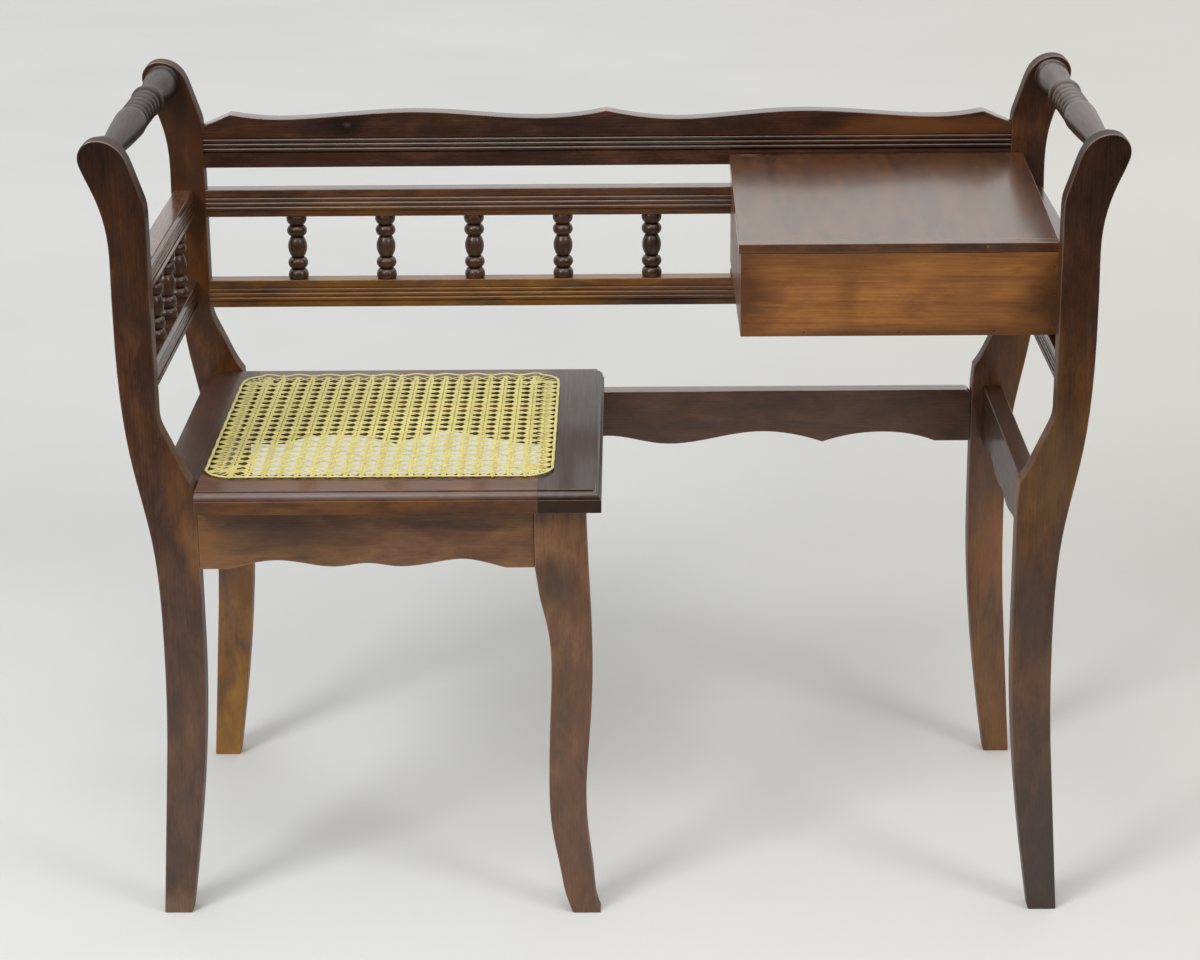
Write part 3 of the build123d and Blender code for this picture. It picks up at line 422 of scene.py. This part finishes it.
def describe(mesh, bm, axis, finish, edge_dull=None, hollows=True):
    """Gives each point its place in the board's grain in millimetres, its stain, its relief and its polish.

    finish is the stain's tone (or its tones at foot, seat and head, which paint light by height too), its
    share of amber and how dull the broad faces are. edge_dull is how dull the narrow faces are, where they
    differ from the broad ones.
    """
    tones, amber, dull = finish
    edge_dull = dull if edge_dull is None else edge_dull
    start = Vector([luck.uniform(-TREE_MM, TREE_MM) for _ in range(3)])
    tilt = luck.uniform(-TILT, TILT)
    along, across, through = BOARD_AXES[axis]
    grain, toning, relief, dullness = [], [], [], []
    for vert in bm.verts:
        x, y, z = (vert.co[i] / MM for i in (along, across, through))
        grain += [x + start.x, y + tilt * x + start.y, z + start.z]
        toning.append(tone_and_painted_light_at(vert.co.z, tones) if isinstance(tones, tuple) else tones)
        relief.append(relief_at(vert, hollows))
        broad = abs(vert.normal[through])
        dullness.append(dull * broad + edge_dull * (1 - broad))
    mesh.attributes.new("grain", "FLOAT_VECTOR", "POINT").data.foreach_set("vector", grain)
    for word, values in (
        ("tone", toning), ("amber", [amber] * len(toning)), ("relief", relief), ("dull", dullness)
    ):
        mesh.attributes.new(word, "FLOAT", "POINT").data.foreach_set("value", values)


def piece_from(mesh, name, material, body, nodes):
    """Puts a finished mesh into the scene in place of the solids that it stands for."""
    piece = bpy.data.objects.new(name, mesh)
    bpy.context.scene.collection.objects.link(piece)
    mesh.materials.append(material)
    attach(piece, body)
    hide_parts(*nodes)
    return piece


def clean_solid(node):
    """The node's solid, with the points that its faces hold twice made one."""
    bm = bmesh.new()
    bm.from_mesh(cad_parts[node].data)
    bmesh.ops.remove_doubles(bm, verts=bm.verts, dist=0.002 * MM)
    return bm


def smooth_faces(bm, crease):
    """Smooths every face, and keeps a crisp line where two of them turn by more than the crease angle."""
    bm.normal_update()
    for face in bm.faces:
        face.smooth = True
    for edge in bm.edges:
        if len(edge.link_faces) == 2 and edge.calc_face_angle(0.0) > crease:
            edge.smooth = False


def board(node, name, axis, material, finish, body="frame", arris_mm=1.3, keep=None, edge_dull=None):
    """A sawn board: its outer arrises are rounded as sandpaper leaves them. Its grain runs along axis."""
    bm = clean_solid(node)
    bmesh.ops.dissolve_limit(bm, angle_limit=FLAT, verts=bm.verts, edges=bm.edges)
    arrises = [e for e in bm.edges if len(e.link_faces) == 2 and e.calc_face_angle_signed(0.0) > ARRIS]
    if keep:
        arrises = [edge for edge in arrises if keep((edge.verts[0].co + edge.verts[1].co) / 2 / MM)]
    if arris_mm:
        bmesh.ops.bevel(
            bm, geom=arrises, offset=arris_mm * MM, offset_type="OFFSET", segments=3, profile=0.5,
            affect="EDGES",
        )
    smooth_faces(bm, BOARD_CREASE)
    mesh = bpy.data.meshes.new(name)
    bm.to_mesh(mesh)
    describe(mesh, bm, axis, finish, edge_dull, hollows=not arris_mm or keep is not None)
    bm.free()
    piece = piece_from(mesh, name, material, body, [node])
    level = piece.modifiers.new("flat faces stay flat", "WEIGHTED_NORMAL")
    level.keep_sharp = True


def turned(node, name, axis, material, finish):
    """A lathe-turned piece: smooth round its beads, with crisp quirks between them."""
    bm = clean_solid(node)
    smooth_faces(bm, TURNED_CREASE)
    mesh = bpy.data.meshes.new(name)
    bm.to_mesh(mesh)
    describe(mesh, bm, axis, finish)
    bm.free()
    piece_from(mesh, name, material, "frame", [node])


def crest_outline(point):
    """Leaves the reeds alone: only arrises on the outline of the crest board are rounded."""
    front_face, above_reeds, below_reeds = 197.5, 712, 680
    return point.y > front_face or point.z > above_reeds or point.z < below_reeds


for node, name, finish in (
    ("front_left_upright", "front_left_end_board", ((0.44, 0.49, 0.23), 0.7, 0.0)),
    ("front_right_upright", "front_right_end_board", ((0.38, 0.54, 0.20), 0.75, 0.0)),
    ("back_left_upright", "back_left_end_board", ((0.80, 0.45, 0.34), 1.8, 0.3)),
    ("back_right_upright", "back_right_end_board", ((0.60, 0.55, 0.30), 0.9, 0.0)),
    ("seat_front_leg", "seat_corner_leg", ((0.59, 0.72, 0.74), 0.25, 0.0)),
):
    board(node, name, "z", WALNUT, finish, edge_dull=1.0)
for node, name, axis, finish in (
    ("front_apron", "scalloped_front_apron", "x", (0.70, 0.3, 0.0)),
    ("back_stretcher", "scalloped_back_stretcher", "x", (0.55, 0.1, 0.0)),
    ("left_seat_rail", "scalloped_left_rail", "y", (0.48, 0.2, 0.3)),
    ("right_seat_rail", "scalloped_right_rail", "y", (0.44, 0.3, 0.8)),
    ("seat_inner_apron", "scalloped_inner_apron", "y", (0.44, 0.2, 0.3)),
):
    board(node, name, axis, WALNUT, finish)
board("crest_rail", "serpentine_crest", "x", WALNUT, (0.40, 0.3, 0.0), keep=crest_outline)
for node, name, axis, finish in (
    ("back_upper_rail", "reeded_upper_rail", "x", (0.53, 0.6, 0.0)),
    ("back_lower_rail", "reeded_lower_rail", "x", (0.62, 1.8, 0.45)),
    # the left arm rail's light tone is wear by hands, and partly a painted sheen from the lamps above
    ("left_arm_rail", "reeded_left_arm_rail", "y", (0.64, 0.1, 0.0)),
    ("left_lower_rail", "reeded_left_lower_rail", "y", (0.44, 0.3, 0.0)),
    ("right_arm_rail", "reeded_right_arm_rail", "y", (0.44, 0.2, 0.0)),
    ("right_lower_rail", "reeded_right_lower_rail", "y", (0.44, 0.2, 0.0)),
):
    board(node, name, axis, WALNUT, finish, arris_mm=0)

# ---- turned work ----
for node, name, axis, finish in (
    ("back_spindles", "turned_back_spindles", "z", (0.43, 0.2, 0.5)),
    ("left_side_spindles", "turned_left_spindles", "z", (0.41, 0.2, 0.5)),
    ("right_side_spindles", "turned_right_spindles", "z", (0.41, 0.2, 0.5)),
    ("left_handle", "turned_left_handle", "y", (0.22, 0.0, 0.8)),
    ("right_handle", "turned_right_handle", "y", (0.36, 0.1, 0.5)),
):
    turned(node, name, axis, WALNUT, finish)

# ---- seat frame ----
HIDDEN = (0.5, 0.0, 0.5)  # finish of the softwood that doesn't show
for node, name, axis, finish in (
    ("seat_front_rail", "seat_frame_front", "x", (0.54, 0.8, 0.55)),
    ("seat_back_rail", "seat_frame_back", "x", (0.54, 0.4, 0.55)),
    ("seat_left_stile", "seat_frame_left", "y", (0.41, 0.3, 0.75)),
    ("seat_right_stile", "seat_frame_right", "y", (0.30, 0.0, 0.6)),
):
    board(node, name, axis, WALNUT, finish, arris_mm=0.4)
for node, name in (
    ("seat_front_batten", "softwood_front_batten"), ("seat_back_batten", "softwood_back_batten")
):
    board(node, name, "x", SOFTWOOD, HIDDEN)

# ---- box and lid ----
for node, name, axis, finish in (
    ("box_front", "box_front_panel", "x", (0.53, 0.5, 0.2)),
    ("box_left_side", "box_left_panel", "y", (0.30, 0.2, 0.3)),
    ("box_right_side", "box_right_panel", "y", (0.30, 0.2, 0.3)),
):
    board(node, name, axis, CHESTNUT, finish, arris_mm=0.6)
for node, name in (("box_back", "box_back_panel"), ("box_bottom", "box_floor_panel")):
    board(node, name, "x", SOFTWOOD, HIDDEN, arris_mm=0.4)
board("box_lid", "sloping_lid", "y", LID, (0.51, 0.5, 0.0), body="box_lid", arris_mm=0.5)
board("lid_lipping", "lid_front_lipping", "x", WALNUT, (0.54, 0.6, 0.0), body="box_lid", arris_mm=0)


# ---- woven cane seat, in millimetres: X and Y from the middle of the caned opening, Z from the floor ----
CANE_LOW, CANE_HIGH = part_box("seat_cane")
CANE_MIDDLE = (CANE_LOW + CANE_HIGH) / 2 / MM
CANE_BASE = CANE_LOW.z / MM
BINDER = 4.6  # width of the binder's groove
# from the middle out to the binder's middle line, where the holes are
HALF_X = (CANE_HIGH.x - CANE_LOW.x) / 2 / MM - BINDER / 2
HALF_Y = (CANE_HIGH.y - CANE_LOW.y) / 2 / MM - BINDER / 2
CORNER = 25.0  # radius of the opening's corners at the holes
COLUMNS, COLUMN_PITCH = 19, 15.9  # pairs of strands that run front to back
ROWS, ROW_PITCH = 20, 15.65  # pairs that run left to right
BACK_MARGIN = 25.5  # from the binder to the pair nearest the back
COLUMN_PAIR, ROW_PAIR = 1.9, 1.35  # each strand of a pair lies this far from the pair's middle
COLUMN_STRAND, STRAND, STRAND_DEPTH = 2.6, 2.15, 0.35  # width front to back, other widths, thickness
FAN = 13.0  # this close to the binder the strands draw together into their holes
WEAVE = CANE_BASE + 1.05  # height of the weave's middle
OVER, DIAGONAL_OVER = 0.16, 0.28  # how far strands rise or sink as they cross others
LEVEL = 0.2  # share of a pitch either side of a crossing where a diagonal lies level
TONE_TO_BACK = 0.05  # the cane is a little darker towards the front and lighter towards the back
TONE_SPREAD, WIDTH_SPREAD = 0.06, (0.94, 1.05)  # how far strands differ in tone and in width
CANE_LENGTH = 3000  # a strand starts anywhere in a cane of this length
# A strip of cane across its width and thickness: flat below, with a rounded back.
SECTION = [(-0.5, -0.5), (0.5, -0.5), (0.5, 0.05), (0.27, 0.42), (0.0, 0.5), (-0.27, 0.42), (-0.5, 0.05)]


def depth(x, y):
    """How far inside the binder's middle line a point lies."""
    over_x, over_y = abs(x) - (HALF_X - CORNER), abs(y) - (HALF_Y - CORNER)
    outside = hypot(max(over_x, 0), max(over_y, 0))
    return CORNER - outside - min(max(over_x, over_y), 0)


def column_x(number):
    """Where a pair of front-to-back strands runs."""
    return (number - (COLUMNS - 1) / 2) * COLUMN_PITCH


def row_y(number):
    """Where a pair of left-to-right strands runs."""
    return HALF_Y - BACK_MARGIN - (ROWS - 1 - number) * ROW_PITCH


def border_reach(place, half_place, half_reach):
    """How far the binder's middle line lies from the centre at this place along the other axis."""
    over = max(place - (half_place - CORNER), 0)
    return half_reach - CORNER + (CORNER ** 2 - over ** 2) ** 0.5


def border_holes():
    """Places of the drilled holes round the seat that the strands go down into."""
    short = 0.6  # the evenly spaced holes stop this share of the corners' radius short of the sides
    holes = []
    for number in range(-1, COLUMNS + 1):
        x = column_x(number)
        if abs(x) < HALF_X - CORNER * short:
            reach = border_reach(abs(x), HALF_X, HALF_Y)
            holes += [(x, reach), (x, -reach)]
    for number in range(-2, ROWS + 2):
        y = row_y(number)
        if abs(y) < HALF_Y - CORNER * short:
            reach = border_reach(abs(y), HALF_Y, HALF_X)
            holes += [(reach, y), (-reach, y)]
    return holes


HOLES = border_holes()


def lay_strip(bm, grain, points, width, thick, run):
    """Lays a flat strip of cane along points, with its grain running on from run."""
    rings = []
    for number, point in enumerate(points):
        before, after = points[max(number - 1, 0)], points[min(number + 1, len(points) - 1)]
        ahead = Vector((after[0] - before[0], after[1] - before[1], 0)).normalized()
        side = Vector((-ahead.y, ahead.x, 0))
        centre = Vector(point)
        run += (centre - Vector(before)).length
        ring = []
        for across, up in SECTION:
            spot = centre + side * across * width + Vector((0, 0, up * thick))
            ring.append(bm.verts.new(spot * MM))
            grain.append((run, across * width, up * thick))
        rings.append(ring)
    for first, second in zip(rings, rings[1:]):
        for a in range(len(SECTION)):
            b = (a + 1) % len(SECTION)
            bm.faces.new((first[b], first[a], second[a], second[b])).smooth = True
    bm.faces.new(rings[0])
    bm.faces.new(reversed(rings[-1]))


def ends_drawn_in(points):
    """Keeps the part of a strand inside the fan line and takes both its ends down into the nearest hole."""
    furthest, in_hole = 60, -0.6  # how far a strand reaches for its hole, and how low it goes in it
    inside = [p for p in points if depth(p[0], p[1]) > FAN]
    if len(inside) < 2:
        return []
    made = list(inside)
    for end, last, before in ((0, inside[0], inside[1]), (-1, inside[-1], inside[-2])):
        ahead = Vector((last[0] - before[0], last[1] - before[1]))
        ahead.normalize()
        step = FAN
        while depth(last[0] + ahead.x * step, last[1] + ahead.y * step) > 0.5 and step < furthest:
            step += 0.5
        reach = Vector((last[0], last[1])) + ahead * step
        hole = min(HOLES, key=lambda place: hypot(place[0] - reach.x, place[1] - reach.y))
        # it goes on a little in its own line, turns to the hole and drops into it
        bend = Vector((last[0], last[1])) + ahead * step * 0.45
        halfway = (bend.x * 0.6 + hole[0] * 0.4, bend.y * 0.6 + hole[1] * 0.4, last[2] * 0.5)
        close = (bend.x * 0.12 + hole[0] * 0.88, bend.y * 0.12 + hole[1] * 0.88, 0.1)
        tail = [halfway, close, (hole[0], hole[1], in_hole)]
        made = list(reversed(tail)) + made if end == 0 else made + tail
    return made


def woven_strands():
    """Six-way weave: pairs front to back, pairs left to right, and a strand along each diagonal.

    The strands are drawn thinner and flatter than they are, so that the holes stay open from low down.
    """
    strands = []
    for number in range(COLUMNS):
        for side in (-1, 1):
            x = column_x(number) + side * COLUMN_PAIR
            path = []
            for row in range(-1, ROWS + 1):
                y = row_y(row)
                path += [(x, y - ROW_PAIR, side * OVER), (x, y, 0), (x, y + ROW_PAIR, -side * OVER)]
                path.append((x, y + ROW_PITCH / 2, 0))
            strands.append((path, COLUMN_STRAND))
    for number in range(ROWS):
        for side in (-1, 1):
            y = row_y(number) + side * ROW_PAIR
            path = []
            for column in range(-2, COLUMNS + 2):
                x = column_x(column)
                path += [(x - COLUMN_PAIR, y, -side * OVER), (x, y, 0), (x + COLUMN_PAIR, y, side * OVER)]
                path.append((x + COLUMN_PITCH / 2, y, 0))
            strands.append((path, STRAND))
    for way in (1, -1):
        for number in range(-ROWS - 2, COLUMNS + ROWS + 2):
            path = []
            for half in range(-6, 2 * COLUMNS + 6):
                u = half / 2
                lift = way * DIAGONAL_OVER * (1 if half % 2 == 0 else -1)
                for place in (u - LEVEL, u + LEVEL):
                    v = way * (place - number - 0.5)
                    path.append((column_x(place), row_y(v), lift))
            strands.append((path, STRAND))
    return strands


def corner_fans():
    """Short strands that fill each rounded corner: two go from every corner hole into the weave."""
    hole_angles = (8, 26, 45, 64, 82)
    past_middle, bow = 14, 4
    strands = []
    for side_x in (-1, 1):
        for side_y in (-1, 1):
            centre = Vector((side_x * (HALF_X - CORNER), side_y * (HALF_Y - CORNER)))
            for number, degrees in enumerate(hole_angles):
                out = Vector((side_x * cos(radians(degrees)), side_y * sin(radians(degrees))))
                hole = centre + out * CORNER
                for lean in (-0.5, 0.5):
                    # towards one side or the other, and bowed a little that way
                    away = Vector((side_x * (0.5 + lean), side_y * (0.5 - lean)))
                    inner = centre - out.lerp(away, 0.6) * past_middle
                    bend = hole.lerp(inner, 0.4) + Vector((out.y, -out.x)) * lean * bow
                    lift = 0.5 if number % 2 == 0 else -0.3
                    strands.append([
                        (hole.x, hole.y, -0.5), (*hole.lerp(bend, 0.3), 0.2), (bend.x, bend.y, lift),
                        (*bend.lerp(inner, 0.5), 0.1), (inner.x, inner.y, -0.7),
                    ])
    return strands


def side_fans():
    """Strands that leave each side hole towards the weave, one to the front and one to the back."""
    # how far in from the hole, how far along the side, and how high
    route = ((0, 0, -0.5), (4, 1.6, 0.1), (10, 4.8, 0.0), (17, ROW_PITCH * 0.5, -0.4))
    strands = []
    for x, y in HOLES:
        if abs(y) < HALF_Y - CORNER and abs(x) > HALF_X - CORNER:
            side = 1 if x > 0 else -1
            for way in (-1, 1):
                strands.append([(x - side * inward, y + way * along, up) for inward, along, up in route])
    return strands


def weave_strips():
    """Every strand of the panel as (points, width, thickness, tone), no two quite alike."""
    fan_width = STRAND * 0.85
    strips = []
    for path in corner_fans() + side_fans():
        raised = [(x, y, z + WEAVE) for x, y, z in path]
        strips.append((raised, fan_width, STRAND_DEPTH, luck.uniform(-TONE_SPREAD, TONE_SPREAD)))
    for path, width in woven_strands():
        drawn = ends_drawn_in(path)
        if drawn:
            raised = [(x, y, z + WEAVE) for x, y, z in drawn]
            width *= luck.uniform(*WIDTH_SPREAD)
            strips.append((raised, width, STRAND_DEPTH, luck.uniform(-TONE_SPREAD, TONE_SPREAD)))
    return strips


def border_line(step):
    """Points round the binder's middle line, starting at the middle of the back edge."""
    straight_x, straight_y = HALF_X - CORNER, HALF_Y - CORNER
    legs = []
    for corner_x, corner_y, start in ((1, 1, 90), (1, -1, 0), (-1, -1, -90), (-1, 1, -180)):
        centre = (corner_x * straight_x, corner_y * straight_y)
        for degrees in range(start, start - 91, -9):
            turn = radians(degrees)
            legs.append((centre[0] + CORNER * cos(turn), centre[1] + CORNER * sin(turn)))
    line = []
    for first, second in zip(legs, legs[1:] + legs[:1]):
        span = hypot(second[0] - first[0], second[1] - first[1])
        count = max(int(span / step), 1)
        line += [
            (first[0] + (second[0] - first[0]) * n / count, first[1] + (second[1] - first[1]) * n / count)
            for n in range(count)
        ]
    return line


def binder_strips():
    """The binder lies over the holes; loops hold it down at every second hole, and it bows out between."""
    straight_x, straight_y = HALF_X - CORNER, HALF_Y - CORNER
    back_bow, other_bow = 3.0, 1.2  # the binder has crept furthest along the back
    strip_width, strip_thickness, strip_tone = BINDER * 0.62, 0.8, 0.05
    tie_width, tie_thickness, tie_tone = 2.1, 0.6, -0.02
    ties = sorted(HOLES, key=lambda hole: atan2(hole[1], hole[0]))[::2]
    lifted = []
    for x, y in border_line(2.6):
        tie = min(hypot(x - a, y - b) for a, b in ties)
        most = back_bow if y > HALF_Y - 1 else other_bow
        bow = most * (1 - cos(min(tie / COLUMN_PITCH, 1.0) * pi)) / 2
        out_x = (1 if x > 0 else -1) if abs(x) > HALF_X - 1 else 0
        out_y = (1 if y > 0 else -1) if abs(y) > HALF_Y - 1 else 0
        lifted.append((x + out_x * bow * 0.5, y + out_y * bow, CANE_BASE + 2.0 + bow * 0.35))
    strips = [(lifted + lifted[:2], strip_width, strip_thickness, strip_tone)]
    # a loop over the binder: how far out from its hole, and how far above the panel's underside
    loop = ((-2.6, 1.2), (-2.0, 2.2), (-0.8, 2.7), (0.8, 2.7), (1.8, 2.2), (2.1, 1.5))
    for x, y in ties:
        middle = (max(-straight_x, min(straight_x, x)), max(-straight_y, min(straight_y, y)))
        out = Vector((x, y)) - Vector(middle)
        out.normalize()
        path = [(x + out.x * reach, y + out.y * reach, CANE_BASE + rise) for reach, rise in loop]
        strips.append((path, tie_width, tie_thickness, tie_tone))
    return strips


def cane_piece(name, strips, node):
    """Makes one piece of cane from strips: (points, width, thickness, tone)."""
    bm = bmesh.new()
    grain, toning = [], []
    for points, width, thick, tone in strips:
        start = luck.uniform(0, CANE_LENGTH)
        centre = [(x + CANE_MIDDLE.x, y + CANE_MIDDLE.y, z) for x, y, z in points]
        lay_strip(bm, grain, centre, width, thick, start)
        toning += [tone + TONE_TO_BACK * y / HALF_Y for x, y, z in points for _ in SECTION]
    bm.normal_update()
    mesh = bpy.data.meshes.new(name)
    bm.to_mesh(mesh)
    bm.free()
    flat = [value for place in grain for value in place]
    mesh.attributes.new("grain", "FLOAT_VECTOR", "POINT").data.foreach_set("vector", flat)
    mesh.attributes.new("tone", "FLOAT", "POINT").data.foreach_set("value", toning)
    piece_from(mesh, name, CANE, "frame", [node])


cane_piece("woven_cane_panel", weave_strips(), "seat_cane")
cane_piece("cane_binder_strip", binder_strips(), "cane_binder")

# ---- ironmongery and hidden dowels keep their solids and take a finish, by the first word that fits ----
FITTINGS = (("dowels", BEECH), ("lid_hinge", BRASS), ("screws", STEEL), ("pins", RUST))
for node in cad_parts:
    fitting = next((material for word, material in FITTINGS if word in node), None)
    if fitting:
        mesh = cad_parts[node].data
        mesh.materials.clear()
        mesh.materials.append(fitting)


# ---- floor, light and camera ----
def studio_floor():
    """Plain pale paper sweep, a little warmer to the right. Polish mirrors it dark where the sweep ends,
    well in front of the bench.
    """
    mesh = bpy.data.meshes.new("studio_floor")
    half = 14.0  # metres, out of sight on every side
    corners = [(-half, -half, 0), (half, -half, 0), (half, half, 0), (-half, half, 0)]
    mesh.from_pydata(corners, [], [(0, 1, 2, 3)])
    floor = bpy.data.objects.new("studio_floor", mesh)
    bpy.context.scene.collection.objects.link(floor)
    material, tree = new_material("pale_studio_paper")
    place = add(tree, "TexCoord", out="Object")
    across = add(tree, "SeparateXYZ", place, out="X")
    back = add(tree, "SeparateXYZ", place, out="Y")
    cloud = add(tree, "TexNoise", place, Scale=1.4, Detail=3.0)
    paper = add(tree, "ValToRGB", cloud, stops=((0.35, "#dddedd"), (0.65, "#e3e4e4")))
    all_dark, still_pale = -1.7, -0.55  # where, along Y in metres, the mirrored sweep ends
    past_end = add(tree, "MapRange", back, all_dark, still_pale, 1.0, 0.0)
    glossy = add(tree, "LightPath", out="Is_Glossy_Ray")
    for amount, tint in (
        (add(tree, "MapRange", across, -0.3, 0.9, 0.0, 0.6), "#dfdbd0"),
        (add(tree, "Math", past_end, glossy, operation="MULTIPLY"), "#171514"),
    ):
        paper = add(
            tree, "Mix", amount, data_type="RGBA", A_Color=paper, B_Color=srgb(tint), out="Result_Color"
        )
    backdrop = add(tree, "MapRange", back, 0.9, 3.0, 0.0, 0.15)
    camera = add(tree, "LightPath", out="Is_Camera_Ray")
    finish_surface(
        tree,
        Base_Color=paper,
        Specular_IOR_Level=0.2,
        Roughness=0.7,
        Emission_Color=srgb("#fbfaf7"),
        Emission_Strength=add(tree, "Math", backdrop, camera, operation="MULTIPLY"),
    )
    mesh.materials.append(material)


def studio_world():
    """Even white light from all round. Polish mirrors a white backdrop, bright lamps above and a dim room
    in front.
    """
    all_round, backdrop_seen = (0.60, 0.60, 0.60, 1), (0.86, 0.86, 0.86, 1)
    world = bpy.data.worlds.new("studio")
    bpy.context.scene.world = world
    world.use_nodes = True
    tree = world.node_tree
    tree.nodes.clear()
    camera, see_through, glossy = (
        add(tree, "LightPath", out=ray) for ray in ("Is_Camera_Ray", "Is_Transmission_Ray", "Is_Glossy_Ray")
    )
    toward = add(tree, "TexCoord", out="Generated")
    back = add(tree, "SeparateXYZ", toward, out="Y")
    up = add(tree, "SeparateXYZ", toward, out="Z")
    backdrop = add(tree, "MapRange", back, -0.1, 0.5, 0.06, 1.0)
    lamps = add(tree, "MapRange", up, 0.40, 0.78, 0.0, 2.9)
    mirrored = add(tree, "Math", backdrop, lamps, operation="ADD")
    seen = add(tree, "Math", camera, see_through, operation="MAXIMUM")
    strength = all_round
    for amount, level in ((glossy, mirrored), (seen, backdrop_seen)):
        strength = add(
            tree, "Mix", amount, data_type="RGBA", A_Color=strength, B_Color=level, out="Result_Color"
        )
    add(tree, "OutputWorld", add(tree, "Background", srgb("#f8f8f6"), strength))


def soft_box(name, place, target, side, power):
    """A square diffuser lamp that faces the target."""
    lamp = bpy.data.lights.new(name, "AREA")
    lamp.shape = "SQUARE"
    lamp.size, lamp.energy = side, power
    holder = bpy.data.objects.new(name, lamp)
    bpy.context.scene.collection.objects.link(holder)
    holder.location = place
    holder.rotation_euler = (Vector(target) - Vector(place)).to_track_quat("-Z", "Y").to_euler()


def place_camera():
    """The camera where the photograph was taken: 3.1 m off, 1.37 m up, with a 90 mm lens."""
    place = (0.0238, -2.9246, 1.3664)
    yaw, pitch, roll = radians(-0.621), radians(18.447), radians(-0.523)
    lens = bpy.data.cameras.new("camera")
    lens.lens, lens.sensor_width = 90.0, 36.0
    holder = bpy.data.objects.new("camera", lens)
    bpy.context.scene.collection.objects.link(holder)
    ahead = Vector((sin(yaw) * cos(pitch), cos(yaw) * cos(pitch), -sin(pitch)))
    level = Vector((cos(yaw), -sin(yaw), 0))
    upright = level.cross(ahead)
    right = level * cos(roll) + upright * sin(roll)
    up = upright * cos(roll) - level * sin(roll)
    facing = Matrix((right, up, -ahead)).transposed().to_4x4()
    holder.matrix_world = Matrix.Translation(place) @ facing
    bpy.context.scene.camera = holder


studio_floor()
studio_world()
for name, place, target, side, power in (
    ("left_soft_box", (-2.0, -2.4, 2.7), (0, 0, 0.4), 1.1, 62),
    ("top_soft_box", (-0.3, -1.2, 3.0), (-0.2, 0, 0.3), 0.9, 16),
    ("right_soft_box", (2.2, -2.0, 2.4), (0, 0, 0.4), 1.0, 28),
):
    soft_box(name, place, target, side, power)
place_camera()
bpy.context.scene.view_settings.view_transform = "Standard"
